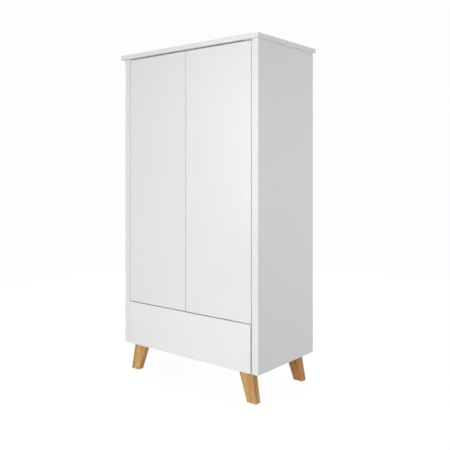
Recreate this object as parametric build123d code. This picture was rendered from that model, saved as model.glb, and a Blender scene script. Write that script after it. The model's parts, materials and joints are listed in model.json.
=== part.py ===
from build123d import *
import os

# Two-door wardrobe on four splayed oak legs, with one drawer below the doors.
# Millimetres. Origin on the floor under the middle of the top board; +X to the right,
# -Y to the front, +Z up. Names ending in _X, _Y or _Z below are places, the rest are sizes.

# ---- driving dimensions: outside -------------------------------------------------------------
CARCASS_WIDTH = 1000.0
CARCASS_DEPTH = 534.0
CARCASS_HEIGHT = 1713.0
LEG_HEIGHT = 162.0
TOP_THICKNESS = 25.0
TOP_SIDE_OVERHANG = 14.0
TOP_FRONT_OVERHANG = 22.0
TOP_BACK_OVERHANG = 10.0
DRAWER_GAP_HEIGHT = 253.0       # carcass underside to the middle of the gap above the drawer

# ---- driving dimensions: boards --------------------------------------------------------------
BOARD = 19.0                    # sides, partition, drawer divider
BOTTOM_THICKNESS = 22.0
SHELF_THICKNESS = 18.0
POST_THICKNESS = 22.0           # post that thickens each side behind the front edge
POST_DEPTH = 80.0
BACK_THICKNESS = 5.0
BACK_INSET = 10.0               # back panel's outer face in from the carcass's back edge
GROOVE_DEPTH = 8.0
RAIL_HEIGHT = 80.0              # rear rails behind the back panel
EDGE_RADIUS = 2.0               # lacquered edges
CORNER_RADIUS = 3.0             # the sides' outer front edges

# ---- driving dimensions: doors and drawer front ----------------------------------------------
FRONT_THICKNESS = 20.0
SIDE_GAP = 3.0                  # post to door, and door to door
TOP_GAP = 5.0                   # door to top board
DRAWER_GAP = 4.0                # door to drawer front
STOP_GAP = 4.0                  # closed front's back face to the boards behind it
DRAWER_PROUD = 4.0              # the drawer front stands this far in front of the doors
DRAWER_SHIFT = 1.5              # and this far to the left of the middle
DRAWER_SIDE_GAP = 3.5

# ---- driving dimensions: pivots and latches --------------------------------------------------
PIVOT_FROM_EDGE = 9.0           # pivot axis to the door's hinge edge
PIVOT_FROM_FACE = 7.0           # pivot axis to the door's front face
PIN_RADIUS = 3.0
RUNNING_CLEARANCE = 0.05        # pin to bush, plunger to housing
BUSH_RADIUS = 4.5
BUSH_LENGTH = 20.0
PLATE = 2.0                     # steel of the pivot plates and brackets
WASHER_THICKNESS = 0.9
LATCH_FROM_MIDDLE = 30.0
LATCH_SIZE = 18.0
LATCH_LENGTH = 70.0
LATCH_SETBACK = 1.0             # behind the front edge of the board that holds the latch
LATCH_DROP = 11.0               # plunger axis below the board that holds the latch
PLUNGER_RADIUS = 4.0
PLUNGER_LENGTH = 50.0
PLUNGER_TRAVEL = 3.0
PLUNGER_CLEARANCE = 0.3         # plunger tip to strike plate
STRIKE_THICKNESS = 1.5

# ---- driving dimensions: drawer --------------------------------------------------------------
DRAWER_BOARD = 15.0
DRAWER_BOX_HEIGHT = 170.0
DRAWER_BOX_LENGTH = 460.0
DRAWER_FLOOR_CLEARANCE = 13.0   # bottom panel to the drawer's sides
DRAWER_BOTTOM_THICKNESS = 6.0
DRAWER_BOTTOM_RAISE = 10.0
DRAWER_GROOVE = 7.0
RUNNER_WIDTH = 12.7             # post to drawer side
RUNNER_LENGTH = 450.0
RUNNER_HEIGHT = 45.0
RUNNER_STEEL = 1.2
RUNNER_RAISE = 63.0             # drawer side's lower edge to the runner's middle

# ---- driving dimensions: legs ----------------------------------------------------------------
GLIDE_THICKNESS = 1.5
GLIDE_INSET = 2.5               # leg's foot to the glide's edge
SPACER_THICKNESS = 3.0
SPACER_INSET = 0.5
LEG_THICKNESS = 38.5
LEG_TOP_WIDTH = 91.5
LEG_FOOT_WIDTH = 59.0
LEG_TOP_INSET = 57.5            # carcass side to the leg's outer edge, at its top
LEG_FOOT_INSET = 31.5
LEG_TOP_SETBACK = 30.5          # carcass front to the leg's front face, at its top
LEG_FOOT_SETBACK = 25.5
LEG_RADIUS = 2.0

# ---- driving dimensions: inside --------------------------------------------------------------
SHELF_SETBACK = 80.0            # shelves stop behind the posts
SHELF_SIDE_GAP = 0.75
HAT_SHELF_HEIGHT = 1580.0       # floor to the underside of the hat shelf
SHELF_PITCH = 290.0
SHELF_COUNT = 4
SHELF_PIN_RADIUS = 2.5
HANGING_RAIL_RADIUS = 12.5
HANGING_RAIL_DROP = 60.0        # hat shelf to the rail's axis
WALL_BRACKET_X = 250.0
WALL_HOLE_RADIUS = 3.0

# ---- places worked out from the sizes --------------------------------------------------------
BOTTOM_Z = LEG_HEIGHT
TOP_Z = BOTTOM_Z + CARCASS_HEIGHT
TOP_DEPTH = CARCASS_DEPTH + TOP_FRONT_OVERHANG + TOP_BACK_OVERHANG
FRONT_Y = -TOP_DEPTH / 2 + TOP_FRONT_OVERHANG
REAR_Y = FRONT_Y + CARCASS_DEPTH
CARCASS_MIDDLE_Y = (FRONT_Y + REAR_Y) / 2
SIDE_X = CARCASS_WIDTH / 2
INNER_X = SIDE_X - BOARD
POST_X = INNER_X - POST_THICKNESS
DOOR_BACK_Y = FRONT_Y + FRONT_THICKNESS
INSIDE_Y = DOOR_BACK_Y + STOP_GAP
BACK_Y = REAR_Y - BACK_INSET - BACK_THICKNESS
FLOOR_Z = BOTTOM_Z + BOTTOM_THICKNESS
GAP_Z = BOTTOM_Z + DRAWER_GAP_HEIGHT
DIVIDER_LOW_Z = GAP_Z - BOARD / 2
DIVIDER_TOP_Z = GAP_Z + BOARD / 2
DOOR_LOW_Z = GAP_Z + DRAWER_GAP / 2
DOOR_TOP_Z = TOP_Z - TOP_GAP
DOOR_EDGE_X = POST_X - SIDE_GAP
PIVOT_X = DOOR_EDGE_X - PIVOT_FROM_EDGE
PIVOT_Y = FRONT_Y + PIVOT_FROM_FACE
DRAWER_FRONT_Y = FRONT_Y - DRAWER_PROUD
DRAWER_BACK_FACE_Y = DRAWER_FRONT_Y + FRONT_THICKNESS
DRAWER_X = POST_X - RUNNER_WIDTH
DRAWER_LOW_Z = FLOOR_Z + DRAWER_FLOOR_CLEARANCE
RUNNER_Z = DRAWER_LOW_Z + RUNNER_RAISE
LATCH_FRONT_Y = INSIDE_Y + LATCH_SETBACK

RIGHT, LEFT = 1, -1
UP, DOWN = (0, 0, 1), (0, 0, -1)
FRONTWARD, BACKWARD = (0, -1, 0), (0, 1, 0)


# ---- screws: length and radius ---------------------------------------------------------------
SOCKET_SCREW = (14.0, 1.75)
PIVOT_PLATE_SCREW = (18.0, 1.75)
PIVOT_BRACKET_SCREW = (24.0, 1.5)
LATCH_SCREW = (14.0, 1.5)
RUNNER_SCREW = (17.0, 1.75)
WALL_BRACKET_SCREW = (18.0, 2.0)
BACK_SCREW = (25.0, 1.5)
DRAWER_FRONT_SCREW = (27.0, 2.0)
DRAWER_SIDE_SCREW = (40.0, 2.0)


# ---- basic shapes ----------------------------------------------------------------------------
def block(x, y, z):
    """A box between the two ends given for each direction, in either order."""
    size = [abs(high - low) for low, high in (x, y, z)]
    return Pos(sum(x) / 2, sum(y) / 2, sum(z) / 2) * Box(*size)


def rod(start, axis, radius, length):
    """A cylinder that begins at start and runs along axis."""
    shape = Cylinder(radius, length, align=(Align.CENTER, Align.CENTER, Align.MIN))
    return Plane(origin=start, z_dir=axis) * shape


def screw_hole(head, axis, length, radius):
    """The countersunk hole of a wood screw: head is the middle of its mouth, axis points in."""
    cone = Cone(2 * radius, radius, radius, align=(Align.CENTER, Align.CENTER, Align.MIN))
    return Plane(origin=head, z_dir=axis) * cone + rod(head, axis, radius, length)


def screw(head, axis, length, radius):
    """A countersunk wood screw with a cross recess that fills its hole."""
    slot = Box(2.4 * radius, 0.5 * radius, 0.5 * radius, align=(Align.CENTER, Align.CENTER, Align.MIN))
    cross = slot + Rot(0, 0, 90) * slot
    return screw_hole(head, axis, length, radius) - Plane(origin=head, z_dir=axis) * cross


def screw_holes(fixings):
    """The holes of screws given as (head, axis, length, radius)."""
    return [screw_hole(*fixing) for fixing in fixings]


def sided(shape, side):
    """The right-hand shape itself, or its mirror image for the left."""
    return shape if side == RIGHT else mirror(shape, about=Plane.YZ)


def drilled(board, tools):
    """The board without every tool that reaches it."""
    box = board.bounding_box()
    near = []
    for tool in tools:
        reach = tool.bounding_box()
        apart = (reach.min.X > box.max.X or reach.max.X < box.min.X
                 or reach.min.Y > box.max.Y or reach.max.Y < box.min.Y
                 or reach.min.Z > box.max.Z or reach.max.Z < box.min.Z)
        if not apart:
            near.append(tool)
    return board - near if near else board


def shifted(point, direction, distance):
    """The point moved along a unit direction."""
    return tuple(p + d * distance for p, d in zip(point, direction))


# ---- hidden fasteners of the carcass ---------------------------------------------------------
DOWEL_RADIUS, DOWEL_LENGTH = 4.0, 30.0
FACE_DEPTH = 11.0               # how far dowels and cam bolts go into the board they meet
CAM_RADIUS, CAM_DEPTH, CAM_DISTANCE = 7.5, 12.5, 34.0
CAM_BOLT_RADIUS = 3.5
FIT = 0.05                      # hole wall to fastener, all round
CAM_SPREAD, DOWEL_SPREAD = 160.0, 128.0   # from the carcass's middle, to the front and the back
CAM_Y = (CARCASS_MIDDLE_Y - CAM_SPREAD, CARCASS_MIDDLE_Y + CAM_SPREAD)
DOWEL_Y = (CARCASS_MIDDLE_Y - DOWEL_SPREAD, CARCASS_MIDDLE_Y + DOWEL_SPREAD)
RAIL_DOWEL_RADIUS = 3.0


def carcass_joints():
    """Each butt joint: its line's place, the way into the butting board, the cams' way in, and
    the butting board's thickness.
    """
    joints = []
    for side in (LEFT, RIGHT):
        inward = (-side, 0, 0)
        outward = (side, 0, 0)
        joints.append(((side * INNER_X, BOTTOM_Z + BOTTOM_THICKNESS / 2), inward, UP, BOTTOM_THICKNESS))
        joints.append(((side * INNER_X, GAP_Z), inward, UP, BOARD))
        joints.append(((side * (INNER_X + BOARD / 2), TOP_Z), DOWN, outward, BOARD))
    joints.append(((0, TOP_Z), DOWN, (1, 0, 0), BOARD))
    joints.append(((0, DIVIDER_TOP_Z), UP, (1, 0, 0), BOARD))
    return joints


def carcass_fasteners():
    """Dowels, cam locks, cam bolts, and the holes that they all need."""
    dowels, locks, bolts, holes = [], [], [], []
    for (x, z), inward, cam_axis, thickness in carcass_joints():
        for y in DOWEL_Y:
            start = shifted((x, y, z), inward, -FACE_DEPTH)
            dowels.append(rod(start, inward, DOWEL_RADIUS, DOWEL_LENGTH))
            holes.append(rod(start, inward, DOWEL_RADIUS + FIT, DOWEL_LENGTH))
        for y in CAM_Y:
            start = shifted((x, y, z), inward, -FACE_DEPTH)
            length = FACE_DEPTH + CAM_DISTANCE - CAM_RADIUS - FIT
            bolts.append(rod(start, inward, CAM_BOLT_RADIUS, length - FIT))
            holes.append(rod(start, inward, CAM_BOLT_RADIUS + FIT, length))
            mouth = shifted(shifted((x, y, z), inward, CAM_DISTANCE), cam_axis, -thickness / 2)
            locks.append(rod(mouth, cam_axis, CAM_RADIUS, CAM_DEPTH))
            holes.append(rod(mouth, cam_axis, CAM_RADIUS + FIT, CAM_DEPTH))
    for side in (LEFT, RIGHT):
        for z in (TOP_Z - RAIL_HEIGHT / 2, BOTTOM_Z + RAIL_HEIGHT / 2):
            start = (side * (INNER_X + FACE_DEPTH), REAR_Y - BACK_INSET / 2, z)
            dowels.append(rod(start, (-side, 0, 0), RAIL_DOWEL_RADIUS, DOWEL_LENGTH))
            holes.append(rod(start, (-side, 0, 0), RAIL_DOWEL_RADIUS + FIT, DOWEL_LENGTH))
    return dowels, locks, bolts, holes


# ---- carcass boards --------------------------------------------------------------------------
def top_panel():
    half_width = SIDE_X + TOP_SIDE_OVERHANG
    board = block((-half_width, half_width), (-TOP_DEPTH / 2, TOP_DEPTH / 2), (TOP_Z, TOP_Z + TOP_THICKNESS))
    return fillet(board.edges(), EDGE_RADIUS)


def side_panel(side):
    board = block((INNER_X, SIDE_X), (FRONT_Y, REAR_Y), (BOTTOM_Z, TOP_Z))
    corner = board.edges().filter_by(Axis.Z).group_by(Axis.Y)[0].sort_by(Axis.X)[-1]
    board = fillet(corner, CORNER_RADIUS)
    board -= block((INNER_X, INNER_X + GROOVE_DEPTH), (BACK_Y, BACK_Y + BACK_THICKNESS), (BOTTOM_Z, TOP_Z))
    return sided(board, side)


def front_post(side):
    board = block((POST_X, INNER_X), (FRONT_Y, FRONT_Y + POST_DEPTH), (BOTTOM_Z, TOP_Z))
    corner = board.edges().filter_by(Axis.Z).group_by(Axis.Y)[0].sort_by(Axis.X)[0]
    return sided(fillet(corner, EDGE_RADIUS), side)


def floor_board(z, thickness):
    """A board between the sides, notched round the two posts."""
    board = block((-INNER_X, INNER_X), (INSIDE_Y, BACK_Y), (z, z + thickness))
    for side in (LEFT, RIGHT):
        board -= block((side * POST_X, side * INNER_X), (INSIDE_Y, FRONT_Y + POST_DEPTH), (z, z + thickness))
    return board


def centre_partition():
    return block((-BOARD / 2, BOARD / 2), (INSIDE_Y, BACK_Y), (DIVIDER_TOP_Z, TOP_Z))


def back_panel():
    half_width = INNER_X + GROOVE_DEPTH
    return block((-half_width, half_width), (BACK_Y, BACK_Y + BACK_THICKNESS), (BOTTOM_Z, TOP_Z))


def rear_rail(low_z):
    board = block((-INNER_X, INNER_X), (BACK_Y + BACK_THICKNESS, REAR_Y), (low_z, low_z + RAIL_HEIGHT))
    rear_edges = board.faces().sort_by(Axis.Y)[-1].edges().filter_by(Axis.X)
    return fillet(rear_edges, EDGE_RADIUS)


# ---- shelves and their pins ------------------------------------------------------------------
SHELF_END_GAP = 2.0             # to the posts in front and the back panel behind
SHELF_EDGE_RADIUS = 1.0
SHELF_FRONT_Y = FRONT_Y + SHELF_SETBACK + SHELF_END_GAP
SHELF_BACK_Y = BACK_Y - SHELF_END_GAP
PIN_FROM_SHELF_END = 40.0
SHELF_PIN_Y = (SHELF_FRONT_Y + PIN_FROM_SHELF_END, SHELF_BACK_Y - PIN_FROM_SHELF_END)
PIN_HOLE_DEPTH, PIN_REACH = 8.0, 9.0
PIN_HOLE_PITCH = 32.0           # spare holes above and below each pin


def shelf_heights():
    """Undersides of the right-hand shelves, the highest in line with the hat shelf."""
    return [HAT_SHELF_HEIGHT - SHELF_PITCH * step for step in reversed(range(SHELF_COUNT))]


def shelf(side, z):
    near, far = side * (BOARD / 2 + SHELF_SIDE_GAP), side * (INNER_X - SHELF_SIDE_GAP)
    board = block((near, far), (SHELF_FRONT_Y, SHELF_BACK_Y), (z, z + SHELF_THICKNESS))
    return fillet(board.faces().sort_by(Axis.Y)[0].edges().filter_by(Axis.X), SHELF_EDGE_RADIUS)


def shelf_pins():
    """Pins under every shelf, and their holes with a spare one above and below."""
    pins, holes = [], []
    places = [(LEFT, HAT_SHELF_HEIGHT)] + [(RIGHT, z) for z in shelf_heights()]
    for side, shelf_z in places:
        for wall_x, inward in ((side * INNER_X, -side), (side * BOARD / 2, side)):
            for y in SHELF_PIN_Y:
                z = shelf_z - SHELF_PIN_RADIUS
                start = (wall_x - inward * PIN_HOLE_DEPTH, y, z)
                pins.append(rod(start, (inward, 0, 0), SHELF_PIN_RADIUS - FIT, PIN_HOLE_DEPTH + PIN_REACH))
                for step in (-1, 0, 1):
                    hole = shifted(start, UP, step * PIN_HOLE_PITCH)
                    holes.append(rod(hole, (inward, 0, 0), SHELF_PIN_RADIUS, PIN_HOLE_DEPTH))
    return pins, holes


# ---- hanging rail ----------------------------------------------------------------------------
RAIL_Z = HAT_SHELF_HEIGHT - HANGING_RAIL_DROP
RAIL_Y = CARCASS_MIDDLE_Y
SOCKET_RADIUS, SOCKET_THICKNESS, SOCKET_FLANGE = 18.0, 10.0, 2.5
FLANGE_WIDTH = 9.0              # flange beyond the cup, all round
SOCKET_SCREW_OFFSET = 4.3       # cup to the screws' middle
RAIL_WALL = 1.5


def hanging_rail():
    start = (-INNER_X + SOCKET_FLANGE, RAIL_Y, RAIL_Z)
    length = INNER_X - BOARD / 2 - 2 * SOCKET_FLANGE
    tube = rod(start, (1, 0, 0), HANGING_RAIL_RADIUS, length)
    return tube - rod(start, (1, 0, 0), HANGING_RAIL_RADIUS - RAIL_WALL, length)


def rail_sockets():
    """A flanged cup at each end of the hanging rail, and the two screws in each flange."""
    sockets, fixings = [], []
    for wall_x, inward in ((-INNER_X, 1), (-BOARD / 2, -1)):
        centre = (wall_x, RAIL_Y, RAIL_Z)
        axis = (inward, 0, 0)
        flange = rod(centre, axis, SOCKET_RADIUS + FLANGE_WIDTH, SOCKET_FLANGE)
        cup = rod(centre, axis, SOCKET_RADIUS, SOCKET_THICKNESS)
        bore = rod(shifted(centre, axis, SOCKET_FLANGE), axis, HANGING_RAIL_RADIUS + FIT, SOCKET_THICKNESS)
        ends = []
        for side in (-1, 1):
            y = RAIL_Y + side * (SOCKET_RADIUS + SOCKET_SCREW_OFFSET)
            head = (wall_x + inward * SOCKET_FLANGE, y, RAIL_Z)
            ends.append((head, (-inward, 0, 0), *SOCKET_SCREW))
        sockets.append(flange + cup - bore - screw_holes(ends))
        fixings += ends
    return sockets, fixings


# ---- legs ------------------------------------------------------------------------------------
LEG_TOP_Z = BOTTOM_Z - SPACER_THICKNESS
BOLT_RADIUS, BOLT_HEAD_RADIUS, BOLT_HEAD_HEIGHT = 4.0, 7.5, 4.0
INSERT_RADIUS, INSERT_LENGTH = 6.0, 25.0
BOLT_PAST_INSERT = 5.0
BOLT_HOLE_PAST_INSERT = 8.0
BOLT_HEAD_ROUNDING = 1.5
HEX_RADIUS, HEX_DEPTH = 2.5, 2.0   # socket in the bolt's head
BOLT_OFFSETS = (-20.0, 24.0)    # from the middle of the leg's top, sideways
LEG_PLACES = {               # side, and whether it is at the back
    "front_left_leg": (LEFT, False), "front_right_leg": (RIGHT, False),
    "back_left_leg": (LEFT, True), "back_right_leg": (RIGHT, True),
}


def leg_outline(inset, setback, width, z, shrink=0.0):
    """A leg's rounded section at one height, for the front right leg."""
    centre_x = SIDE_X - inset - width / 2
    centre_y = FRONT_Y + setback + LEG_THICKNESS / 2
    outline = RectangleRounded(width - 2 * shrink, LEG_THICKNESS - 2 * shrink, LEG_RADIUS)
    return Pos(centre_x, centre_y, z) * outline


def placed(shape, place):
    """A front right shape moved to another leg's corner by mirroring."""
    side, at_back = place
    shape = sided(shape, side)
    return mirror(shape, about=Plane.XZ.offset(-CARCASS_MIDDLE_Y)) if at_back else shape


def leg_bolt_points():
    centre_x = SIDE_X - LEG_TOP_INSET - LEG_TOP_WIDTH / 2
    y = FRONT_Y + LEG_TOP_SETBACK + LEG_THICKNESS / 2
    return [(centre_x + offset, y) for offset in BOLT_OFFSETS]


def leg():
    foot = leg_outline(LEG_FOOT_INSET, LEG_FOOT_SETBACK, LEG_FOOT_WIDTH, GLIDE_THICKNESS)
    top = leg_outline(LEG_TOP_INSET, LEG_TOP_SETBACK, LEG_TOP_WIDTH, LEG_TOP_Z)
    solid = loft([foot, top])
    for x, y in leg_bolt_points():
        solid -= rod((x, y, LEG_TOP_Z), DOWN, INSERT_RADIUS, INSERT_LENGTH)
        solid -= rod((x, y, LEG_TOP_Z), DOWN, BOLT_RADIUS + FIT, INSERT_LENGTH + BOLT_HOLE_PAST_INSERT)
    return solid


def leg_spacer():
    outline = leg_outline(LEG_TOP_INSET, LEG_TOP_SETBACK, LEG_TOP_WIDTH, LEG_TOP_Z, SPACER_INSET)
    plate = extrude(outline, SPACER_THICKNESS)
    for x, y in leg_bolt_points():
        plate -= rod((x, y, LEG_TOP_Z), UP, BOLT_RADIUS + FIT, SPACER_THICKNESS)
    return plate


def leg_bolts():
    """Bolts through the bottom panel for the front right leg."""
    length = BOTTOM_THICKNESS + SPACER_THICKNESS + INSERT_LENGTH + BOLT_PAST_INSERT
    bolts = []
    for x, y in leg_bolt_points():
        head = rod((x, y, FLOOR_Z), UP, BOLT_HEAD_RADIUS, BOLT_HEAD_HEIGHT)
        head = fillet(head.edges().group_by(Axis.Z)[-1], BOLT_HEAD_ROUNDING)
        socket = extrude(RegularPolygon(HEX_RADIUS, 6), HEX_DEPTH)
        socket = Pos(x, y, FLOOR_Z + BOLT_HEAD_HEIGHT - HEX_DEPTH) * socket
        bolts.append(head + rod((x, y, FLOOR_Z), DOWN, BOLT_RADIUS, length) - socket)
    return bolts


def leg_inserts():
    inserts = []
    for x, y in leg_bolt_points():
        sleeve = rod((x, y, LEG_TOP_Z), DOWN, INSERT_RADIUS, INSERT_LENGTH)
        inserts.append(sleeve - rod((x, y, LEG_TOP_Z), DOWN, BOLT_RADIUS + FIT, INSERT_LENGTH))
    return inserts


def foot_glide():
    outline = leg_outline(LEG_FOOT_INSET, LEG_FOOT_SETBACK, LEG_FOOT_WIDTH, 0, GLIDE_INSET)
    return extrude(outline, GLIDE_THICKNESS)


# ---- doors and their pivots ------------------------------------------------------------------
TOP_PLATE_LENGTH, BRACKET_LENGTH = 50.0, 56.0
PLATE_EDGE_GAP = 1.0            # plates in from the edges of the boards that they lie on
UPRIGHT_DISTANCE = 14.0         # pivot to the bracket's upright, sideways
PLATE_SCREW_DISTANCES = (14.0, 30.0)     # from the pivot, sideways
PLATE_SCREW_BEHIND_PIVOT = 3.0
BRACKET_SCREW_DISTANCES = (24.0, 46.0)
BRACKET_SCREW_RAISE = 5.5       # above the divider's underside
PIN_END_GAP = 2.0               # top pin's end to the bottom of its bush
BRACKET_TOP_Z = DOOR_LOW_Z - (DRAWER_GAP - PLATE) / 2
TOP_PIN_LENGTH = TOP_GAP + BUSH_LENGTH - PIN_END_GAP
BUSH_FIT = 0.02


def door(side):
    board = block((SIDE_GAP / 2, DOOR_EDGE_X), (FRONT_Y, DOOR_BACK_Y), (DOOR_LOW_Z, DOOR_TOP_Z))
    board = fillet(board.edges(), EDGE_RADIUS)
    for z, axis in ((DOOR_TOP_Z, DOWN), (DOOR_LOW_Z, UP)):
        board -= rod((PIVOT_X, PIVOT_Y, z), axis, BUSH_RADIUS, BUSH_LENGTH)
    return sided(board, side)


def door_bushes(side):
    bushes = []
    for z, axis in ((DOOR_TOP_Z, DOWN), (DOOR_LOW_Z, UP)):
        bush = rod((PIVOT_X, PIVOT_Y, z), axis, BUSH_RADIUS - BUSH_FIT, BUSH_LENGTH)
        bush -= rod((PIVOT_X, PIVOT_Y, z), axis, PIN_RADIUS + RUNNING_CLEARANCE, BUSH_LENGTH)
        bushes.append(sided(bush, side))
    return bushes


def pivot_hardware(side):
    """Top plate, bottom bracket, top and bottom pin, washer; and the plates' screws."""
    plate_end_x, plate_front_y = POST_X - PLATE_EDGE_GAP, FRONT_Y + PLATE_EDGE_GAP
    top_plate = block((POST_X - TOP_PLATE_LENGTH, plate_end_x), (plate_front_y, DOOR_BACK_Y),
                      (TOP_Z - PLATE, TOP_Z))
    low = BRACKET_TOP_Z - PLATE
    inner_end = PIVOT_X - BRACKET_LENGTH
    tongue = block((inner_end, plate_end_x), (plate_front_y, INSIDE_Y), (low, BRACKET_TOP_Z))
    upright = block((inner_end, PIVOT_X - UPRIGHT_DISTANCE), (INSIDE_Y - PLATE, INSIDE_Y),
                    (DIVIDER_LOW_Z + PLATE_EDGE_GAP, BRACKET_TOP_Z))
    top_pin = rod((PIVOT_X, PIVOT_Y, TOP_Z), DOWN, PIN_RADIUS, TOP_PIN_LENGTH)
    low_pin = rod((PIVOT_X, PIVOT_Y, low), UP, PIN_RADIUS, BUSH_LENGTH + PLATE)
    washer_ring = rod((PIVOT_X, PIVOT_Y, BRACKET_TOP_Z), UP, 2 * PIN_RADIUS, WASHER_THICKNESS)
    washer = washer_ring - rod((PIVOT_X, PIVOT_Y, BRACKET_TOP_Z), UP, PIN_RADIUS + FIT, WASHER_THICKNESS)
    fixings = []
    for distance in PLATE_SCREW_DISTANCES:
        head = (side * (PIVOT_X - distance), PIVOT_Y + PLATE_SCREW_BEHIND_PIVOT, TOP_Z - PLATE)
        fixings.append((head, UP, *PIVOT_PLATE_SCREW))
    for distance in BRACKET_SCREW_DISTANCES:
        head = (side * (PIVOT_X - distance), INSIDE_Y - PLATE, DIVIDER_LOW_Z + BRACKET_SCREW_RAISE)
        fixings.append((head, BACKWARD, *PIVOT_BRACKET_SCREW))
    holes = screw_holes(fixings)
    bored = (top_plate - top_pin, tongue + upright - low_pin)
    plates = [drilled(sided(plate, side), holes) for plate in bored]
    return plates + [sided(part, side) for part in (top_pin, low_pin, washer)], fixings


# ---- push latches ----------------------------------------------------------------------------
BORE_END = 4.0                  # solid end of the latch housing behind the bore
HOUSING_ROUNDING = 3.0
PLUNGER_ROUNDING = 1.0
EAR_LENGTH, EAR_WIDTH, EAR_THICKNESS = 10.0, 12.0, 3.0   # the housing's two screw ears
EAR_FROM_BACK = 10.0
STRIKE_WIDTH, STRIKE_HEIGHT = 20.0, 10.0
STRIKE_ROUNDING = 2.0
BUMPER_RADIUS, BUMPER_ROUNDING = 3.0, 1.2
BUMPER_CLEARANCE = 0.8          # bumper to the closed door
BUMPER_FROM_END = 80.0


def latch(x, board_z, contact_y):
    """Housing, plunger and screws of a latch under a board; contact_y is the strike's face."""
    z = board_z - LATCH_DROP
    tip_y = contact_y + PLUNGER_CLEARANCE
    back_y = LATCH_FRONT_Y + LATCH_LENGTH
    half = LATCH_SIZE / 2
    housing = block((x - half, x + half), (LATCH_FRONT_Y, back_y), (board_z - LATCH_SIZE, board_z))
    housing = fillet(housing.edges().filter_by(Axis.Y).group_by(Axis.Z)[0], HOUSING_ROUNDING)
    bore_length = LATCH_LENGTH - BORE_END
    housing -= rod((x, LATCH_FRONT_Y, z), BACKWARD, PLUNGER_RADIUS + RUNNING_CLEARANCE, bore_length)
    plunger = rod((x, tip_y, z), BACKWARD, PLUNGER_RADIUS, PLUNGER_LENGTH)
    plunger = fillet(plunger.edges().group_by(Axis.Y)[0], PLUNGER_ROUNDING)
    ear_y = (back_y - EAR_FROM_BACK - EAR_WIDTH, back_y - EAR_FROM_BACK)
    fixings = []
    for end in (-1, 1):
        ear_x = (x + end * half, x + end * (half + EAR_LENGTH))
        housing += block(ear_x, ear_y, (board_z - EAR_THICKNESS, board_z))
        fixings.append(((sum(ear_x) / 2, sum(ear_y) / 2, board_z - EAR_THICKNESS), UP, *LATCH_SCREW))
    return housing - screw_holes(fixings), plunger, fixings


def strike_plate(x, board_z, back_face_y):
    z = board_z - LATCH_DROP
    plate = block((x - STRIKE_WIDTH / 2, x + STRIKE_WIDTH / 2), (back_face_y, back_face_y + STRIKE_THICKNESS),
                  (z - STRIKE_HEIGHT / 2, z + STRIKE_HEIGHT / 2))
    return fillet(plate.edges().filter_by(Axis.Y), STRIKE_ROUNDING)


def door_bumpers():
    """Soft stops on the partition's front edge, two for each door."""
    bumpers = []
    for side in (LEFT, RIGHT):
        for z in (DIVIDER_TOP_Z + BUMPER_FROM_END, TOP_Z - BUMPER_FROM_END):
            dome = rod((side * BOARD / 4, INSIDE_Y, z), FRONTWARD, BUMPER_RADIUS, STOP_GAP - BUMPER_CLEARANCE)
            bumpers.append(fillet(dome.edges().group_by(Axis.Y)[0], BUMPER_ROUNDING))
    return bumpers


# ---- drawer ----------------------------------------------------------------------------------
DRAWER_TOP_Z = DRAWER_LOW_Z + DRAWER_BOX_HEIGHT
DRAWER_END_Y = DRAWER_BACK_FACE_Y + DRAWER_BOX_LENGTH
DRAWER_INNER_X = DRAWER_X - DRAWER_BOARD
DRAWER_FLOOR_Z = DRAWER_LOW_Z + DRAWER_BOTTOM_RAISE
FRONT_SCREW_X = (-300.0, -100.0, 100.0, 300.0)
FRONT_SCREW_Z = (DRAWER_LOW_Z + 50.0, DRAWER_TOP_Z - 40.0)
CORNER_SCREW_Z = (DRAWER_LOW_Z + 32.0, DRAWER_TOP_Z - 27.0)


def drawer_front():
    half_width = POST_X - DRAWER_SIDE_GAP
    x = (-half_width - DRAWER_SHIFT, half_width - DRAWER_SHIFT)
    board = block(x, (DRAWER_FRONT_Y, DRAWER_BACK_FACE_Y), (BOTTOM_Z, GAP_Z - DRAWER_GAP / 2))
    return fillet(board.edges(), EDGE_RADIUS)


def drawer_bottom():
    x = (-DRAWER_INNER_X - DRAWER_GROOVE, DRAWER_INNER_X + DRAWER_GROOVE)
    y = (DRAWER_BACK_FACE_Y + DRAWER_BOARD - DRAWER_GROOVE, DRAWER_END_Y - DRAWER_BOARD + DRAWER_GROOVE)
    return block(x, y, (DRAWER_FLOOR_Z, DRAWER_FLOOR_Z + DRAWER_BOTTOM_THICKNESS))


def drawer_side(side):
    y = (DRAWER_BACK_FACE_Y, DRAWER_END_Y)
    board = block((DRAWER_INNER_X, DRAWER_X), y, (DRAWER_LOW_Z, DRAWER_TOP_Z))
    top_edges = board.faces().sort_by(Axis.Z)[-1].edges().filter_by(Axis.Y)
    return sided(fillet(top_edges, EDGE_RADIUS), side)


def drawer_cross_board(front_y):
    """The board between the drawer's sides, at its front or its back."""
    y = (front_y, front_y + DRAWER_BOARD)
    board = block((-DRAWER_INNER_X, DRAWER_INNER_X), y, (DRAWER_LOW_Z, DRAWER_TOP_Z))
    top_edges = board.faces().sort_by(Axis.Z)[-1].edges().filter_by(Axis.X)
    return fillet(top_edges, EDGE_RADIUS)


def drawer_fixings():
    """Screws through the inner front into the front, and through the sides into the cross boards."""
    fixings = []
    for x in FRONT_SCREW_X:
        for z in FRONT_SCREW_Z:
            head = (x, DRAWER_BACK_FACE_Y + DRAWER_BOARD, z)
            fixings.append((head, FRONTWARD, *DRAWER_FRONT_SCREW))
    for side in (LEFT, RIGHT):
        for y in (DRAWER_BACK_FACE_Y + DRAWER_BOARD / 2, DRAWER_END_Y - DRAWER_BOARD / 2):
            for z in CORNER_SCREW_Z:
                fixings.append(((side * DRAWER_X, y, z), (-side, 0, 0), *DRAWER_SIDE_SCREW))
    return fixings


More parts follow.
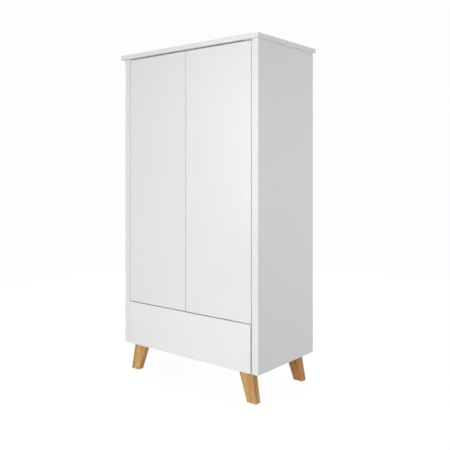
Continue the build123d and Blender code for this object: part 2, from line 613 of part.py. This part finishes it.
# ---- runners ---------------------------------------------------------------------------------
RUNNER_SETBACK = 1.0            # behind the front edges of the boards inside
RUNNER_START_Y = INSIDE_Y + RUNNER_SETBACK
CABINET_DEPTH, MIDDLE_DEPTH, INNER_DEPTH = 11.5, 7.5, 5.0
MIDDLE_WEB_GAP = 2.3            # cabinet channel's web to the middle channel's web
LAYER_GAP = 2.3                 # between the flanges of two channels, where the balls run
BATTEN_HEIGHT = 60.0
RUNNER_SCREW_DISTANCES = (32.0, 224.0, 416.0)    # from the runner's front end


def channel(web_x, opening, height, depth):
    """A C-section rail along Y for the right-hand side: opening is +1 or -1 along X."""
    y = (RUNNER_START_Y, RUNNER_START_Y + RUNNER_LENGTH)
    low, high = RUNNER_Z - height / 2, RUNNER_Z + height / 2
    web = block((web_x, web_x + opening * RUNNER_STEEL), y, (low, high))
    upper = block((web_x, web_x + opening * depth), y, (high - RUNNER_STEEL, high))
    lower = block((web_x, web_x + opening * depth), y, (low, low + RUNNER_STEEL))
    return web + upper + lower


def runner_sections():
    """The right-hand cabinet, middle and drawer members."""
    middle_height = RUNNER_HEIGHT - 2 * (RUNNER_STEEL + LAYER_GAP)
    inner_height = middle_height - 2 * (RUNNER_STEEL + LAYER_GAP)
    cabinet = channel(POST_X, -1, RUNNER_HEIGHT, CABINET_DEPTH)
    middle = channel(POST_X - RUNNER_STEEL - MIDDLE_WEB_GAP, -1, middle_height, MIDDLE_DEPTH)
    inner = channel(DRAWER_X, 1, inner_height, INNER_DEPTH)
    return cabinet, middle, inner


def runner_batten():
    y = (FRONT_Y + POST_DEPTH, RUNNER_START_Y + RUNNER_LENGTH)
    return block((POST_X, INNER_X), y, (RUNNER_Z - BATTEN_HEIGHT / 2, RUNNER_Z + BATTEN_HEIGHT / 2))


def runner_fixings(side):
    fixings = []
    for distance in RUNNER_SCREW_DISTANCES:
        head = (side * (POST_X - RUNNER_STEEL), RUNNER_START_Y + distance, RUNNER_Z)
        fixings.append((head, (side, 0, 0), *RUNNER_SCREW))
    return fixings


# ---- wall brackets and back screws -----------------------------------------------------------
BRACKET_WIDTH, BRACKET_REACH, BRACKET_STEEL = 40.0, 40.0, 2.5
BRACKET_SCREW_SPREAD = 11.0     # from the bracket's middle, to both sides
WALL_HOLE_DROP = 26.0           # from the top board
WALL_HOLE_Z = TOP_Z - WALL_HOLE_DROP
BACK_SCREW_X = (-400.0, -240.0, -80.0, 80.0, 240.0, 400.0)
PARTITION_SCREWS = 4


def wall_bracket(x):
    half = BRACKET_WIDTH / 2
    flat = block((x - half, x + half), (BACK_Y - BRACKET_REACH, BACK_Y), (TOP_Z - BRACKET_STEEL, TOP_Z))
    upright = block((x - half, x + half), (BACK_Y - BRACKET_STEEL, BACK_Y), (TOP_Z - BRACKET_REACH, TOP_Z))
    return flat + upright


def wall_hole(x):
    start = (x, BACK_Y - BRACKET_STEEL, WALL_HOLE_Z)
    return rod(start, BACKWARD, WALL_HOLE_RADIUS, REAR_Y - start[1])


def wall_bracket_fixings(x):
    fixings = []
    for spread in (-BRACKET_SCREW_SPREAD, BRACKET_SCREW_SPREAD):
        head = (x + spread, BACK_Y - WALL_HOLE_DROP, TOP_Z - BRACKET_STEEL)
        fixings.append((head, UP, *WALL_BRACKET_SCREW))
    return fixings


def back_fixings():
    """Screws through the back panel into the divider and the partition."""
    fixings = []
    back_face = BACK_Y + BACK_THICKNESS
    for x in BACK_SCREW_X:
        fixings.append(((x, back_face, GAP_Z), FRONTWARD, *BACK_SCREW))
    for number in range(1, PARTITION_SCREWS + 1):
        z = DIVIDER_TOP_Z + number * (TOP_Z - DIVIDER_TOP_Z) / (PARTITION_SCREWS + 1)
        fixings.append(((0, back_face, z), FRONTWARD, *BACK_SCREW))
    return fixings


# ---- the whole wardrobe ----------------------------------------------------------------------
def build():
    nodes = {}
    dowels, cam_locks, cam_bolts, holes = carcass_fasteners()
    pins, pin_holes = shelf_pins()
    sockets, fixings = rail_sockets()
    fixings += back_fixings()

    for side, name in ((LEFT, "left"), (RIGHT, "right")):
        (top_plate, bracket, top_pin, low_pin, washer), pivot_fixings = pivot_hardware(side)
        nodes.setdefault("top_pivot_plates", []).append(top_plate)
        nodes.setdefault("bottom_pivot_brackets", []).append(bracket)
        nodes.setdefault("pivot_pins", []).extend([top_pin, low_pin])
        nodes.setdefault("pivot_washers", []).append(washer)
        fixings += pivot_fixings + runner_fixings(side) + wall_bracket_fixings(side * WALL_BRACKET_X)

        nodes[f"{name}_door"] = [door(side)]
        nodes[f"{name}_door_bushes"] = door_bushes(side)
        latch_x = side * LATCH_FROM_MIDDLE
        nodes[f"{name}_door_strike_plate"] = [strike_plate(latch_x, TOP_Z, DOOR_BACK_Y)]
        housing, plunger, latch_fixings = latch(latch_x, TOP_Z, DOOR_BACK_Y + STRIKE_THICKNESS)
        nodes.setdefault("latch_housings", []).append(housing)
        nodes[f"{name}_latch_plunger"] = [plunger]
        fixings += latch_fixings

    housing, plunger, latch_fixings = latch(0, DIVIDER_LOW_Z, DRAWER_BACK_FACE_Y + STRIKE_THICKNESS)
    nodes["latch_housings"].append(housing)
    nodes["drawer_latch_plunger"] = [plunger]
    nodes["drawer_strike_plate"] = [strike_plate(0, DIVIDER_LOW_Z, DRAWER_BACK_FACE_Y)]
    fixings += latch_fixings

    corner_bolts, corner_inserts = leg_bolts(), leg_inserts()
    for name, place in LEG_PLACES.items():
        nodes[name] = [placed(leg(), place)]
        nodes.setdefault("leg_spacers", []).append(placed(leg_spacer(), place))
        nodes.setdefault("leg_bolts", []).extend(placed(bolt, place) for bolt in corner_bolts)
        nodes.setdefault("leg_inserts", []).extend(placed(insert, place) for insert in corner_inserts)
        nodes.setdefault("foot_glides", []).append(placed(foot_glide(), place))

    nodes["carcass_screws"] = [screw(*fixing) for fixing in fixings]
    nodes["dowels"] = dowels
    nodes["cam_locks"] = cam_locks
    nodes["cam_bolts"] = cam_bolts
    nodes["shelf_pins"] = pins
    nodes["hanging_rail"] = [hanging_rail()]
    nodes["rail_sockets"] = sockets
    nodes["door_bumpers"] = door_bumpers()

    fixing_holes = screw_holes(fixings)
    wall_holes = [wall_hole(side * WALL_BRACKET_X) for side in (LEFT, RIGHT)]
    cutters = holes + pin_holes + fixing_holes + nodes["leg_bolts"] + wall_holes
    boards = {
        "top_panel": top_panel(),
        "left_side_panel": side_panel(LEFT),
        "right_side_panel": side_panel(RIGHT),
        "left_front_post": front_post(LEFT),
        "right_front_post": front_post(RIGHT),
        "bottom_panel": floor_board(BOTTOM_Z, BOTTOM_THICKNESS),
        "drawer_divider_panel": floor_board(DIVIDER_LOW_Z, BOARD),
        "centre_partition": centre_partition(),
        "back_panel": back_panel(),
        "rear_top_rail": rear_rail(TOP_Z - RAIL_HEIGHT),
        "rear_bottom_rail": rear_rail(BOTTOM_Z),
        "left_hat_shelf": shelf(LEFT, HAT_SHELF_HEIGHT),
    }
    for number, z in enumerate(shelf_heights(), start=1):
        boards[f"right_shelf_{number}"] = shelf(RIGHT, z)
    for name, board in boards.items():
        nodes[name] = [drilled(board, cutters)]
    nodes["runner_battens"] = [drilled(sided(runner_batten(), side), fixing_holes) for side in (LEFT, RIGHT)]
    nodes["wall_brackets"] = [
        drilled(wall_bracket(side * WALL_BRACKET_X), fixing_holes + wall_holes) for side in (LEFT, RIGHT)]

    runner_names = ("cabinet_runners", "middle_runners", "drawer_runners")
    for name, section in zip(runner_names, runner_sections()):
        nodes[name] = [drilled(sided(section, side), fixing_holes) for side in (LEFT, RIGHT)]

    drawer_screws = drawer_fixings()
    floor = drawer_bottom()
    drawer_boards = {
        "drawer_front": drawer_front(),
        "drawer_inner_front": drawer_cross_board(DRAWER_BACK_FACE_Y),
        "drawer_left_side": drawer_side(LEFT),
        "drawer_right_side": drawer_side(RIGHT),
        "drawer_back": drawer_cross_board(DRAWER_END_Y - DRAWER_BOARD),
    }
    for name, board in drawer_boards.items():
        nodes[name] = [drilled(board, screw_holes(drawer_screws) + [floor])]
    nodes["drawer_bottom"] = [floor]
    nodes["drawer_screws"] = [screw(*fixing) for fixing in drawer_screws]
    return nodes


def main():
    os.makedirs("parts", exist_ok=True)
    for name, solids in build().items():
        shape = solids[0] if len(solids) == 1 else Compound(children=solids)
        export_step(shape, f"parts/{name}.step")
    print(f"pivot axis at x = +-{PIVOT_X}, y = {PIVOT_Y}")
    print(f"rear wall holes at x = +-{WALL_BRACKET_X}, z = {WALL_HOLE_Z}")


main()
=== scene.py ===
import math
import json
import bpy
import bmesh
from mathutils import Matrix, Vector

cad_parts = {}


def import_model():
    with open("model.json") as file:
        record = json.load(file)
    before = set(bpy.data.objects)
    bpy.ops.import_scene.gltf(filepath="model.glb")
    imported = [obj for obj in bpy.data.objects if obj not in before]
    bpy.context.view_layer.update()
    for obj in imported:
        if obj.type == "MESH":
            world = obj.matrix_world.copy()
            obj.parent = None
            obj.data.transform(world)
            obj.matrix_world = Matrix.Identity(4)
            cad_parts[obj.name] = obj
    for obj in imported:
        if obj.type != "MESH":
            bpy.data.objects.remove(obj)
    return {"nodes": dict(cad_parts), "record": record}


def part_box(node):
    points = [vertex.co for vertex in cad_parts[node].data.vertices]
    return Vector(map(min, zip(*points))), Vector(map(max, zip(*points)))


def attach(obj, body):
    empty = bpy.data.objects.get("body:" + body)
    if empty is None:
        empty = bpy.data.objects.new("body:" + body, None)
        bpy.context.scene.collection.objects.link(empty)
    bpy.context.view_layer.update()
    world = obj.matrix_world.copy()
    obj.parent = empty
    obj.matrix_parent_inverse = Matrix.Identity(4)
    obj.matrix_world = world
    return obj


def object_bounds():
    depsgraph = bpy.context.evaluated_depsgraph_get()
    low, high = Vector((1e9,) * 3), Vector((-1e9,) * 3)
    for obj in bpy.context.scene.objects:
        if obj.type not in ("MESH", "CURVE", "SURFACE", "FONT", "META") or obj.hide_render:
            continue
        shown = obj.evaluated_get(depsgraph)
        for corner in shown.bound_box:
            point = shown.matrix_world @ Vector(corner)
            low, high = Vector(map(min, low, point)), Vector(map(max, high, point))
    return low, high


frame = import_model()
cad_low, cad_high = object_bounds()
nodes = frame["nodes"]


# ---- node helpers ----------------------------------------------------------------------------
class Nodes:
    """A material's node tree, with short calls to add and link nodes."""

    def __init__(self, name):
        self.material = bpy.data.materials.new(name)
        self.material.use_nodes = True
        self.tree = self.material.node_tree
        self.shader = self.tree.nodes["Principled BSDF"]

    def add(self, kind, **settings):
        node = self.tree.nodes.new(kind)
        for key, value in settings.items():
            setattr(node, key, value)
        return node

    def link(self, source, target):
        self.tree.links.new(source, target)

    def coordinates(self, scale=(1, 1, 1), rotation=(0, 0, 0)):
        """Object coordinates in metres, turned and then stretched."""
        place = self.add("ShaderNodeTexCoord")
        turn = self.add("ShaderNodeMapping")
        turn.inputs["Rotation"].default_value = rotation
        stretch = self.add("ShaderNodeMapping")
        stretch.inputs["Scale"].default_value = scale
        self.link(place.outputs["Object"], turn.inputs["Vector"])
        self.link(turn.outputs["Vector"], stretch.inputs["Vector"])
        return stretch.outputs["Vector"]

    def noise(self, vector, scale, detail=3.0, roughness=0.5, distortion=0.0):
        node = self.add("ShaderNodeTexNoise")
        node.inputs["Scale"].default_value = scale
        node.inputs["Detail"].default_value = detail
        node.inputs["Roughness"].default_value = roughness
        node.inputs["Distortion"].default_value = distortion
        self.link(vector, node.inputs["Vector"])
        return node.outputs["Fac"]

    def ramp(self, value, stops):
        """Colours along a value; stops are (position, colour)."""
        node = self.add("ShaderNodeValToRGB")
        ramp = node.color_ramp
        while len(ramp.elements) < len(stops):
            ramp.elements.new(0.5)
        for element, (position, colour) in zip(ramp.elements, stops):
            element.position = position
            element.color = (*colour, 1.0)
        self.link(value, node.inputs["Fac"])
        return node.outputs["Color"]

    def spread(self, value, low, high):
        """A 0 to 1 value mapped to the range low to high."""
        node = self.add("ShaderNodeMapRange")
        node.inputs["To Min"].default_value = low
        node.inputs["To Max"].default_value = high
        self.link(value, node.inputs["Value"])
        return node.outputs["Result"]

    def mix(self, factor, first, second, blend="MIX"):
        """Two colours mixed; factor is a socket or a number."""
        node = self.add("ShaderNodeMix", data_type="RGBA", blend_type=blend)
        if isinstance(factor, (int, float)):
            node.inputs["Factor"].default_value = factor
        else:
            self.link(factor, node.inputs["Factor"])
        self.link(first, node.inputs["A"])
        self.link(second, node.inputs["B"])
        return node.outputs["Result"]

    def bump(self, height, distance, strength=1.0):
        node = self.add("ShaderNodeBump")
        node.inputs["Distance"].default_value = distance
        node.inputs["Strength"].default_value = strength
        self.link(height, node.inputs["Height"])
        self.link(node.outputs["Normal"], self.shader.inputs["Normal"])

    def base(self, colour):
        self.link(colour, self.shader.inputs["Base Color"])

    def roughness(self, value):
        self.link(value, self.shader.inputs["Roughness"])

    def constant(self, **values):
        """Constants set on the shader's own sockets; an underscore stands for a space."""
        for key, value in values.items():
            self.shader.inputs[key.replace("_", " ")].default_value = value


# ---- materials -------------------------------------------------------------------------------
def lacquer(name, light, dark, gloss, peel):
    """Sprayed lacquer: faint cloudiness, uneven sheen and fine orange peel."""
    n = Nodes(name)
    where = n.coordinates()
    cloud = n.noise(where, 2.2, detail=4.0)
    n.base(n.ramp(cloud, [(0.3, dark), (0.7, light)]))
    n.roughness(n.spread(n.noise(where, 9.0, detail=5.0), gloss - 0.05, gloss + 0.06))
    n.bump(n.noise(where, 420.0, detail=2.0), peel)
    n.constant(Specular_IOR_Level=0.45, Coat_Weight=0.12, Coat_Roughness=0.25)
    return n.material


def wood(name, colours, pore, turn=(0, 0, 0), figure=70.0, seed=0.0, gloss=0.5):
    """Sawn and finished wood along Z before the turn: broad figure, fine streaks and dark pores.

    colours are the dark, middle and light wood; seed moves the pattern, so no two boards match.
    """
    n = Nodes(name)
    dark, middle, light = colours
    along = n.coordinates(scale=(1, 1, 0.06), rotation=turn)
    place = n.add("ShaderNodeVectorMath", operation="ADD")
    place.inputs[1].default_value = (0.37 + seed, 0.11 + 2 * seed, 5 * seed)
    n.link(along, place.inputs[0])
    moved = place.outputs["Vector"]
    broad = n.noise(moved, figure, detail=2.0, roughness=0.45, distortion=0.5)
    streaks = n.noise(moved, 6 * figure, detail=5.0, roughness=0.65)
    body = n.ramp(broad, [(0.34, dark), (0.47, middle), (0.62, light)])
    lines = n.ramp(streaks, [(0.36, dark), (0.5, middle), (0.66, light)])
    tinted = n.mix(0.36, body, lines)
    pores = n.noise(n.coordinates(scale=(1, 1, 0.03), rotation=turn), 900.0, detail=1.0)
    mask = n.ramp(pores, [(0.60, (0, 0, 0)), (0.70, (1, 1, 1))])
    pored = n.mix(n.spread(mask, 0.0, 0.5), tinted, n.ramp(streaks, [(0.0, pore), (1.0, dark)]))
    n.base(pored)
    n.roughness(n.spread(streaks, gloss - 0.06, gloss + 0.12))
    n.bump(n.mix(0.5, streaks, mask, blend="SUBTRACT"), 0.0003)
    n.constant(Specular_IOR_Level=0.35)
    return n.material


def metal(name, colour, gloss, brushed=True):
    """Plated or turned metal with fine drawing lines and a slightly cloudy plating."""
    n = Nodes(name)
    where = n.coordinates(scale=(1, 0.04, 1) if brushed else (1, 1, 1))
    lines = n.noise(where, 900.0 if brushed else 60.0, detail=4.0)
    dull = tuple(c * 0.82 for c in colour)
    n.base(n.ramp(n.noise(n.coordinates(), 45.0, detail=4.0), [(0.35, dull), (0.65, colour)]))
    n.roughness(n.spread(lines, gloss - 0.06, gloss + 0.10))
    n.bump(lines, 0.00004)
    n.constant(Metallic=1.0)
    return n.material


def plastic(name, colour, gloss, grain=0.00008):
    """Moulded plastic with a fine spark-eroded grain."""
    n = Nodes(name)
    where = n.coordinates()
    shade = tuple(c * 0.86 for c in colour)
    n.base(n.ramp(n.noise(where, 120.0, detail=4.0), [(0.35, shade), (0.65, colour)]))
    n.roughness(n.spread(n.noise(where, 300.0), gloss - 0.05, gloss + 0.08))
    n.bump(n.noise(where, 1400.0, detail=2.0), grain)
    n.constant(Specular_IOR_Level=0.4)
    return n.material


def felt(name, colour):
    """Pressed felt: matted fibres and a soft sheen."""
    n = Nodes(name)
    where = n.coordinates()
    fibres = n.noise(where, 900.0, detail=8.0, roughness=0.75, distortion=1.5)
    dark = tuple(c * 0.5 for c in colour)
    n.base(n.ramp(fibres, [(0.3, dark), (0.7, colour)]))
    n.bump(fibres, 0.0004)
    n.constant(Roughness=0.95, Sheen_Weight=0.4, Specular_IOR_Level=0.1)
    return n.material


def grey_tone(value):
    return (value, value, value)


WHITE, WHITE_SHADE = grey_tone(0.79), grey_tone(0.777)
DRAWER_WHITE, DRAWER_SHADE = grey_tone(0.82), grey_tone(0.807)     # the front is sprayed apart
SATIN, PEEL = 0.36, 0.00006
OAK = ((0.35, 0.166, 0.048), (0.545, 0.295, 0.110), (0.70, 0.420, 0.182))
# Darker, redder copy of the oak for the two back legs: painted shade for the shade they stand in under the
# carcass.
SHADED_OAK = ((0.33, 0.128, 0.035), (0.515, 0.232, 0.073), (0.67, 0.345, 0.125))
BIRCH = ((0.62, 0.44, 0.25), (0.72, 0.55, 0.35), (0.80, 0.65, 0.45))
BEECH = ((0.50, 0.30, 0.15), (0.58, 0.37, 0.20), (0.66, 0.44, 0.26))
OAK_PORE, BIRCH_PORE = (0.17, 0.075, 0.02), (0.42, 0.28, 0.15)
LEG_LEAN = math.radians(15.0)
ALONG_X, ALONG_Y = (0, math.radians(90), 0), (math.radians(90), 0, 0)

white = lacquer("white_lacquer", WHITE, WHITE_SHADE, SATIN, PEEL)
drawer_white = lacquer("white_lacquer_drawer", DRAWER_WHITE, DRAWER_SHADE, SATIN, PEEL)
back_white = lacquer("white_hardboard", (0.80, 0.80, 0.79), (0.77, 0.77, 0.76), gloss=0.55, peel=0.00015)
birch_x = wood("birch_along_x", BIRCH, BIRCH_PORE, turn=ALONG_X, figure=22.0)
birch_y = wood("birch_along_y", BIRCH, BIRCH_PORE, turn=ALONG_Y, figure=22.0)
beech = wood("beech", BEECH, BIRCH_PORE, turn=ALONG_X, figure=60.0)
zinc = metal("zinc_plated_steel", (0.66, 0.67, 0.69), gloss=0.34)
cast = metal("die_cast_zinc", (0.55, 0.56, 0.57), gloss=0.45, brushed=False)
turned = metal("turned_steel", (0.52, 0.53, 0.55), gloss=0.28)
chrome = metal("polished_chrome", (0.82, 0.83, 0.85), gloss=0.12)
brass = metal("turned_brass", (0.72, 0.55, 0.25), gloss=0.3)
nylon = plastic("white_nylon", (0.86, 0.86, 0.84), gloss=0.45)
grey = plastic("grey_plastic", (0.50, 0.51, 0.52), gloss=0.5)
black = plastic("black_plastic", (0.035, 0.035, 0.036), gloss=0.5)
silicone = plastic("clear_silicone", (0.80, 0.81, 0.82), gloss=0.3)
brown_felt = felt("brown_felt", (0.16, 0.12, 0.085))

BY_SLOT = {
    "white_lacquer": white, "white_hardboard": back_white, "birch": birch_y, "beech": beech,
    "zinc_steel": zinc, "cast_zinc": cast, "pin_steel": turned, "chromed_steel": chrome, "brass": brass,
    "white_nylon": nylon, "grey_plastic": grey, "clear_rubber": silicone, "black_plastic": black,
    "felt": brown_felt,
}
BY_NODE = {"drawer_front": drawer_white, "drawer_inner_front": birch_x, "drawer_back": birch_x}
LEG_SEED, LEG_SEED_STEP = 0.86, 0.23
# The last number makes a leg's oak paler; the front-left leg's 1.10 is painted light, a lighter copy of the
# oak standing in for the light that falls on that leg.
LEGS = [("front_left_leg", OAK, 1.10), ("front_right_leg", OAK, 1.0),
        ("back_left_leg", SHADED_OAK, 1.0), ("back_right_leg", SHADED_OAK, 1.0)]
for number, (leg, tones, painted_light_gain) in enumerate(LEGS):
    lean = LEG_LEAN if "right" in leg else -LEG_LEAN
    colours = tuple(tuple(painted_light_gain * value for value in tone) for tone in tones)
    seed = LEG_SEED + LEG_SEED_STEP * number
    BY_NODE[leg] = wood(f"oak_{leg}", colours, OAK_PORE, turn=(0, lean, 0), seed=seed)


def dress(node, material):
    """Gives a CAD node its material; the mesh's shape stays as it is."""
    mesh = nodes[node].data
    mesh.materials.clear()
    mesh.materials.append(material)


for part in frame["record"]["subparts"]:
    dress(part["node"], BY_NODE.get(part["node"]) or BY_SLOT[part["material_slot"]])


# ---- drawer runner ball cages and balls ------------------------------------------------------
CHANNEL_STEEL = 0.0012           # sheet that the three channels are folded from
CHANNEL_GAP = 0.0023             # between the flanges and webs of two channels
BALL_RADIUS = 0.0011
CAGE_STEEL = 0.0005
CAGE_LENGTH = 0.195
CAGE_FLANGE = 0.0048             # how far a cage's flange reaches under the balls
BALL_PITCH = 0.0075
BALL_RINGS, BALL_SEGMENTS = 6, 10
CAGE_END_GAP = 0.014             # cage's end to its channel's end
CAGE_CORNER = 0.0008
BALL_ROW = 0.62                  # the ball row's place along the flange, as a share of its reach


def cage_places():
    """Each cage's web, first end along Y, half height and runner middle; worked out for the right-hand side.

    The outer cage runs at the back of the middle channel and the inner cage at its front, so that
    both stay between two channels over the drawer's whole travel.
    """
    (_, front, low), (right, back, high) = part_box("middle_runners")
    middle = (low + high) / 2
    reach = high - middle
    gap = CHANNEL_GAP / 2
    inner_web = right - CHANNEL_STEEL - 2 * gap
    return [
        (right + gap, back - CAGE_END_GAP - CAGE_LENGTH, reach + gap, middle),
        (inner_web, front + CAGE_END_GAP, reach - CHANNEL_STEEL - gap, middle),
    ]


def cage_shape(shape, side, web, start, half, middle):
    """A thin channel with a round-cornered section, open towards the drawer."""
    corner = CAGE_CORNER
    half_steel = CAGE_STEEL / 2
    path = [(web - CAGE_FLANGE, half), (web - corner, half)]
    path += [(web - corner + corner * math.sin(a), half - corner + corner * math.cos(a))
             for a in (math.radians(30), math.radians(60))]
    path += [(web, half - corner)]
    path += [(x, -z) for x, z in reversed(path)]
    outer, inner = [], []
    for i, (x, z) in enumerate(path):
        before, after = path[max(i - 1, 0)], path[min(i + 1, len(path) - 1)]
        run = Vector((after[0] - before[0], after[1] - before[1])).normalized()
        outer.append((x - run.y * half_steel, z + run.x * half_steel))
        inner.append((x + run.y * half_steel, z - run.x * half_steel))
    ring = outer + inner[::-1]
    ends = [[shape.verts.new((side * x, y, middle + z)) for x, z in ring]
            for y in (start, start + CAGE_LENGTH)]
    count, last = len(ring), len(outer) - 1
    for i in range(count):
        j = (i + 1) % count
        shape.faces.new((ends[0][i], ends[0][j], ends[1][j], ends[1][i]))
    for end in ends:
        for i in range(last):
            shape.faces.new((end[i], end[i + 1], end[count - 2 - i], end[count - 1 - i]))


def ball(shape, centre):
    """A sphere of rings and two poles, its verts placed directly because there are hundreds of balls."""
    poles = [shape.verts.new(centre + Vector((0, 0, sign * BALL_RADIUS))) for sign in (1, -1)]
    rings = []
    for i in range(1, BALL_RINGS):
        tilt = math.pi * i / BALL_RINGS
        across, up = BALL_RADIUS * math.sin(tilt), BALL_RADIUS * math.cos(tilt)
        turns = [math.tau * j / BALL_SEGMENTS for j in range(BALL_SEGMENTS)]
        rings.append([shape.verts.new(centre + Vector((across * math.cos(t), across * math.sin(t), up)))
                      for t in turns])
    for j in range(BALL_SEGMENTS):
        k = (j + 1) % BALL_SEGMENTS
        shape.faces.new((poles[0], rings[0][j], rings[0][k]))
        shape.faces.new((poles[1], rings[-1][k], rings[-1][j]))
        for upper, lower in zip(rings, rings[1:]):
            shape.faces.new((upper[j], lower[j], lower[k], upper[k]))


def balls_shape(shape, side, web, start, half, middle):
    """Two rows of balls set in the cage's flanges."""
    row = web - CAGE_FLANGE * BALL_ROW
    count = int((CAGE_LENGTH - BALL_PITCH) / BALL_PITCH)
    for z in (half, -half):
        for i in range(count):
            ball(shape, Vector((side * row, start + BALL_PITCH * (i + 1), middle + z)))


def runner_piece(name, build, material):
    """One mesh with what build adds for each cage on both sides, riding on the middle runners."""
    shape = bmesh.new()
    for side in (-1, 1):
        for place in cage_places():
            build(shape, side, *place)
    bmesh.ops.recalc_face_normals(shape, faces=shape.faces)
    mesh = bpy.data.meshes.new(name)
    shape.to_mesh(mesh)
    shape.free()
    mesh.materials.append(material)
    piece = bpy.data.objects.new(name, mesh)
    bpy.context.scene.collection.objects.link(piece)
    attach(piece, "middle_runners")
    return piece


runner_piece("runner_ball_cages", cage_shape, zinc)
balls = runner_piece("runner_balls", balls_shape, turned)
for face in balls.data.polygons:
    face.use_smooth = True


STUDIO_RADIUS = 60.0
FLOOR_DROP = 0.0005              # keeps the floor clear of the glides
WALL_SINK = 0.5                  # how far the backdrop reaches under the floor
FLOOR_GLOW, WALL_GLOW = 0.885, 0.975
HORIZON_LOW, HORIZON_HIGH = -0.12, -0.04     # height of a view direction where the sky fades


# ---- stage: floor, world and lights ----------------------------------------------------------
def camera_only(plate):
    """Seen by the camera, but lighting and shading nothing."""
    plate.visible_diffuse = False
    plate.visible_glossy = False
    plate.visible_shadow = False


def floor():
    """A pale studio floor under the whole scene."""
    mesh = bpy.data.meshes.new("floor")
    shape = bmesh.new()
    bmesh.ops.create_circle(shape, cap_ends=True, radius=STUDIO_RADIUS, segments=64)
    shape.to_mesh(mesh)
    shape.free()
    plate = bpy.data.objects.new("floor", mesh)
    plate.location.z = cad_low[2] - FLOOR_DROP
    bpy.context.scene.collection.objects.link(plate)
    n = Nodes("pale_floor")
    cloud = n.noise(n.coordinates(), 3.0)
    n.base(n.ramp(cloud, [(0.3, grey_tone(0.15)), (0.7, grey_tone(0.16))]))
    n.constant(Roughness=0.9, Specular_IOR_Level=0.1)
    n.constant(Emission_Color=(1, 1, 1, 1), Emission_Strength=FLOOR_GLOW)
    mesh.materials.append(n.material)
    camera_only(plate)


def backdrop():
    """A round white wall, far behind everything."""
    mesh = bpy.data.meshes.new("backdrop")
    shape = bmesh.new()
    bmesh.ops.create_cone(shape, cap_ends=False, segments=64, radius1=STUDIO_RADIUS,
                          radius2=STUDIO_RADIUS, depth=STUDIO_RADIUS)
    bmesh.ops.translate(shape, verts=shape.verts, vec=(0, 0, STUDIO_RADIUS / 2 - WALL_SINK))
    shape.to_mesh(mesh)
    shape.free()
    wall = bpy.data.objects.new("backdrop", mesh)
    bpy.context.scene.collection.objects.link(wall)
    n = Nodes("white_backdrop")
    cloud = n.noise(n.coordinates(), 0.1)
    n.base(n.ramp(cloud, [(0.3, grey_tone(0.01)), (0.7, grey_tone(0.02))]))
    n.constant(Roughness=1.0, Specular_IOR_Level=0.0)
    n.constant(Emission_Color=(1, 1, 1, 1), Emission_Strength=WALL_GLOW)
    mesh.materials.append(n.material)
    camera_only(wall)


def world(above, below):
    """A white studio sky that fades, from just under the horizon, to a dimmer bounce from the floor."""
    sky = bpy.data.worlds.new("studio")
    sky.use_nodes = True
    bpy.context.scene.world = sky
    tree = sky.node_tree
    background = tree.nodes["Background"]
    direction = tree.nodes.new("ShaderNodeTexCoord")
    height = tree.nodes.new("ShaderNodeSeparateXYZ")
    fade = tree.nodes.new("ShaderNodeMapRange")
    fade.inputs["From Min"].default_value = HORIZON_LOW
    fade.inputs["From Max"].default_value = HORIZON_HIGH
    fade.inputs["To Min"].default_value = below
    fade.inputs["To Max"].default_value = above
    tree.links.new(direction.outputs["Generated"], height.inputs["Vector"])
    tree.links.new(height.outputs["Z"], fade.inputs["Value"])
    tree.links.new(fade.outputs["Result"], background.inputs["Strength"])
    background.inputs["Color"].default_value = (1, 1, 1, 1)


def softbox(name, place, aim, size, power):
    """A rectangular area light at place, turned to aim, that the camera doesn't see."""
    light = bpy.data.lights.new(name, "AREA")
    light.shape = "RECTANGLE"
    light.size, light.size_y = size
    light.energy = power
    lamp = bpy.data.objects.new(name, light)
    lamp.location = place
    lamp.visible_camera = False
    lamp.rotation_mode = "QUATERNION"
    lamp.rotation_quaternion = (Vector(aim) - Vector(place)).to_track_quat("-Z", "Y")
    bpy.context.scene.collection.objects.link(lamp)


floor()
backdrop()
world(above=0.55, below=0.47)
softbox("front", place=(-1.2, -3.8, 1.2), aim=(0.0, -0.2, 1.0), size=(1.5, 1.5), power=43.0)
softbox("right", place=(2.6, 1.2, 1.0), aim=(0.5, 0.15, 0.95), size=(1.2, 1.8), power=17.0)
softbox("high", place=(0.66, -1.3, 1.75), aim=(0.46, -0.25, 1.65), size=(0.35, 0.6), power=3.4)
softbox("back", place=(-1.8, 3.4, 1.3), aim=(-0.2, 0.3, 1.0), size=(1.6, 1.6), power=42.0)
softbox("low", place=(0.42, -1.5, 0.20), aim=(0.28, -0.25, 0.3), size=(1.2, 0.3), power=4.4)

bpy.context.scene.view_settings.view_transform = "Standard"


# ---- camera ----------------------------------------------------------------------------------
CAMERA_PLACE = (2.312, -2.755, 1.200)
CAMERA_TURN = math.radians(39.12)      # from looking straight at the front, round to the right
CAMERA_LENS = 48.63
CAMERA_RISE = -0.1198                  # lens shift that keeps the upright edges upright

lens = bpy.data.cameras.new("camera")
lens.sensor_width = 36.0
lens.lens = CAMERA_LENS
lens.shift_y = CAMERA_RISE
camera = bpy.data.objects.new("camera", lens)
camera.location = CAMERA_PLACE
camera.rotation_euler = (math.radians(90), 0, CAMERA_TURN)
bpy.context.scene.collection.objects.link(camera)
bpy.context.scene.camera = camera
